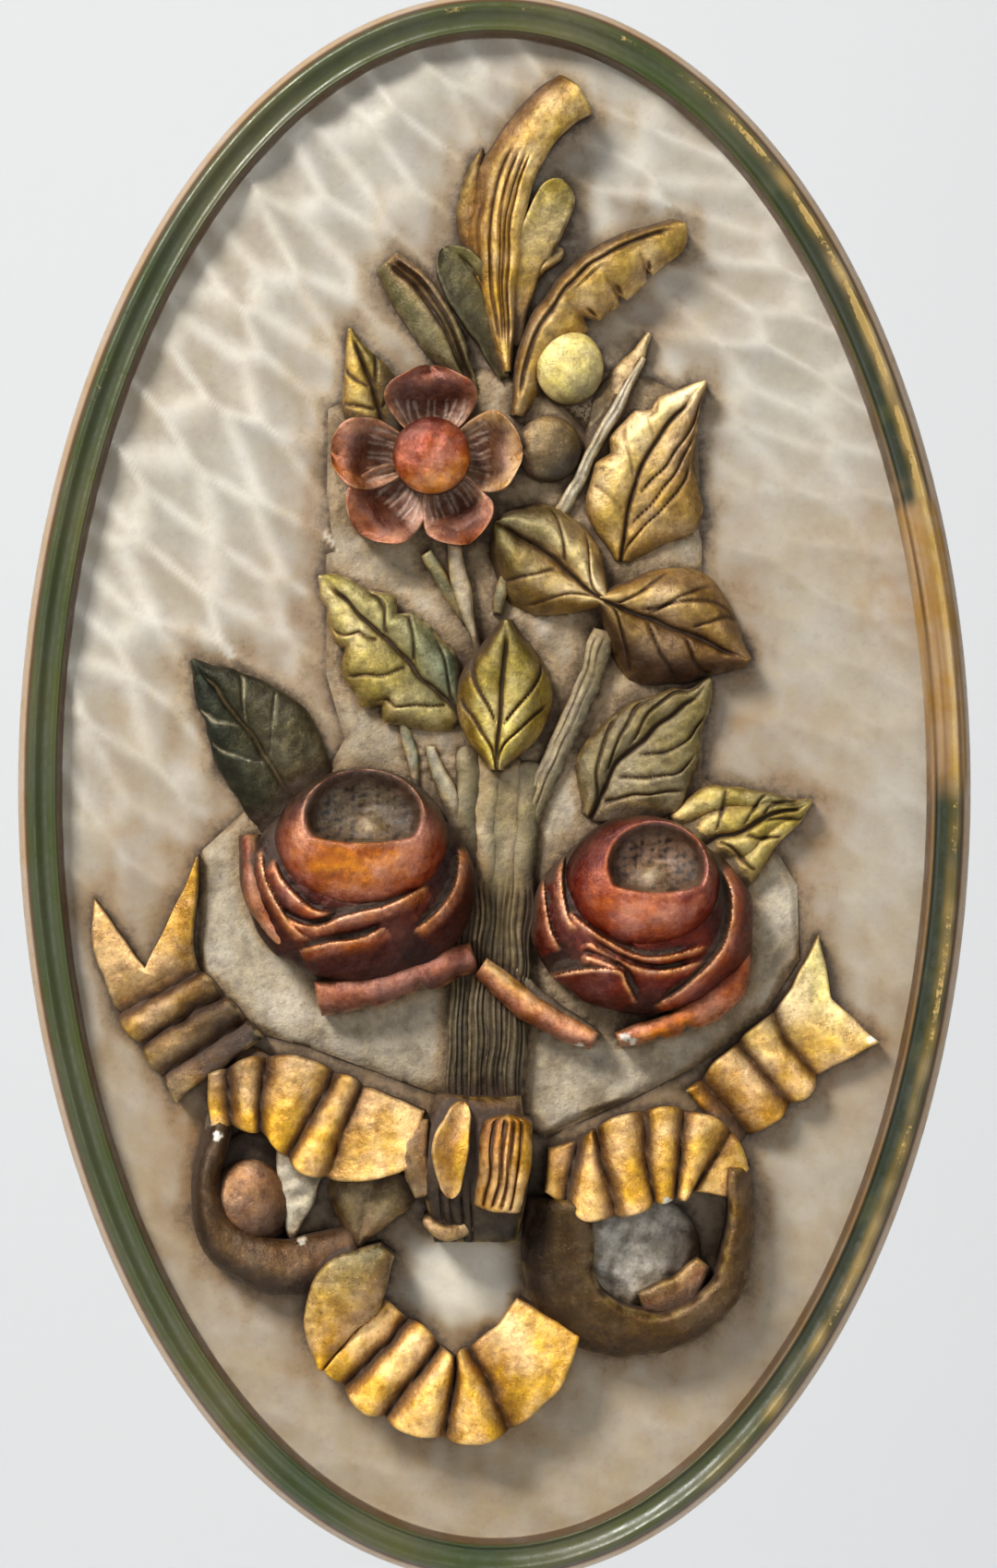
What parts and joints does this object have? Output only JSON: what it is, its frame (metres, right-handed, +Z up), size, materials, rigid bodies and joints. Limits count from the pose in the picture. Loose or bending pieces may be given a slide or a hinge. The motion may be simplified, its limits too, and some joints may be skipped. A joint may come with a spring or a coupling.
{
  "type": "carved wood wall panel",
  "caption": "Oval carved wood wall panel with a moulded rim, an applied gilded bouquet of leaves, a flower and roses, and a tied ribbon bow.",
  "frame": {"origin": "middle of the flat back of the board, where it lies on the wall", "axes": "+Z up the wall along the panel's long axis, +Y out of the back into the wall, so the carved front faces -Y"},
  "size_m": [0.27, 0.047, 0.45],
  "materials": {
    "painted_wood": "worn cream paint, waxed, with green and gold rubbed into the rim",
    "gilded_wood": "worn gilding over painted carving"
  },
  "bodies": {
    "root": {"oval_panel": "painted_wood", "flower_carving": "gilded_wood"}
  },
  "joints": []
}
